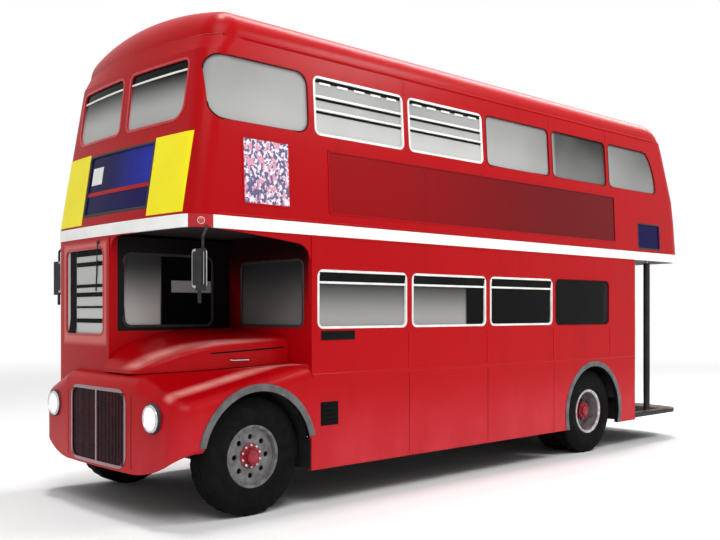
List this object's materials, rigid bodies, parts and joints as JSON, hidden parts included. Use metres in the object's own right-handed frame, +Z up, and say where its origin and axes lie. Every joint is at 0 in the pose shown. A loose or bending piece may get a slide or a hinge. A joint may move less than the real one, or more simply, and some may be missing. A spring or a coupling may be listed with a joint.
{
  "type": "double decker bus",
  "caption": "Half-cab double decker bus with front engine, open rear platform and stairs; steering, wheels, cab door, bonnet and rear window move.",
  "frame": {"origin": "on the ground, midway along and across the bus", "axes": "-Y is forward, +X is the nearside with the bonnet and the platform, +Z is up"},
  "size_m": [2.67, 8.3818, 4.3808],
  "materials": {
    "red_paint": "gloss",
    "maroon_paint": "satin",
    "black_steel": "satin",
    "cast_iron": "cast",
    "grey_steel": "satin",
    "chrome": "polished",
    "white_paint": "gloss",
    "tyre": "matt",
    "glass": "clear",
    "lamp_glass": "clear",
    "blind": "matt",
    "moquette": "woven",
    "floor": "worn"
  },
  "bodies": {
    "bus_body": {"chassis_frame": "black_steel", "engine_block": "cast_iron", "drivetrain": "black_steel", "fuel_tank": "black_steel", "axles": "black_steel", "floors": "floor", "rear_platform": "floor", "lower_side_left": "red_paint", "lower_side_right": "red_paint", "lower_rear_panel": "red_paint", "bulkheads": "red_paint", "cab_shell": "red_paint", "radiator_cowl": "red_paint", "front_wings": "red_paint", "grille": "chrome", "headlamps": "lamp_glass", "upper_side_left": "red_paint", "upper_side_right": "red_paint", "upper_front_panel": "red_paint", "upper_rear_panel": "red_paint", "waistband": "white_paint", "roof_centre": "red_paint", "roof_domes": "red_paint", "window_frames": "white_paint", "glazing": "glass", "destination_blinds": "blind", "seats": "moquette", "seat_frames": "grey_steel", "staircase": "maroon_paint", "grab_poles": "chrome", "steering_wheel": "black_steel", "mirrors": "black_steel", "wheel_arch_trims": "grey_steel"},
    "left_knuckle": {"steering_knuckle_left": "cast_iron"},
    "right_knuckle": {"steering_knuckle_right": "cast_iron"},
    "front_left_wheel": {"front_wheel_left": "grey_steel", "front_tyre_left": "tyre"},
    "front_right_wheel": {"front_wheel_right": "grey_steel", "front_tyre_right": "tyre"},
    "rear_left_wheels": {"rear_wheels_left": "grey_steel", "rear_tyres_left": "tyre"},
    "rear_right_wheels": {"rear_wheels_right": "grey_steel", "rear_tyres_right": "tyre"},
    "driver_door": {"cab_door": "red_paint", "cab_door_glass": "glass"},
    "bonnet_lid": {"bonnet": "red_paint"},
    "emergency_exit": {"emergency_window_frame": "red_paint", "emergency_window_glass": "glass"}
  },
  "joints": [
    {"name": "steer_left", "type": "hinge", "parent": "bus_body", "child": "left_knuckle", "pos_m": [0.915, -3.321, 0.505], "axis": [0, 0, 1], "range_deg": [-35, 35]},
    {"name": "steer_right", "type": "hinge", "parent": "bus_body", "child": "right_knuckle", "pos_m": [-0.915, -3.321, 0.505], "axis": [0, 0, 1], "range_deg": [-35, 35]},
    {"name": "front_left_spin", "type": "hinge", "parent": "left_knuckle", "child": "front_left_wheel", "pos_m": [1.01, -3.321, 0.505], "axis": [1, 0, 0], "continuous": true},
    {"name": "front_right_spin", "type": "hinge", "parent": "right_knuckle", "child": "front_right_wheel", "pos_m": [-1.01, -3.321, 0.505], "axis": [1, 0, 0], "continuous": true},
    {"name": "rear_left_spin", "type": "hinge", "parent": "bus_body", "child": "rear_left_wheels", "pos_m": [0.882, 1.81, 0.505], "axis": [1, 0, 0], "continuous": true},
    {"name": "rear_right_spin", "type": "hinge", "parent": "bus_body", "child": "rear_right_wheels", "pos_m": [-0.882, 1.81, 0.505], "axis": [1, 0, 0], "continuous": true},
    {"name": "cab_door_swing", "type": "hinge", "parent": "bus_body", "child": "driver_door", "pos_m": [-1.219, -3.653, 1.7], "axis": [0, 0, 1], "range_deg": [0, 80]},
    {"name": "bonnet_lift", "type": "hinge", "parent": "bus_body", "child": "bonnet_lid", "pos_m": [-0.022, -3.4, 1.59], "axis": [0, -1, 0], "range_deg": [0, 60]},
    {"name": "emergency_window_lift", "type": "hinge", "parent": "bus_body", "child": "emergency_exit", "pos_m": [0, 3.91, 3.834], "axis": [1, 0, 0], "range_deg": [0, 80]}
  ],
  "couplings": [
    {"joint": "steer_right", "follows": "steer_left", "ratio": 1}
  ]
}
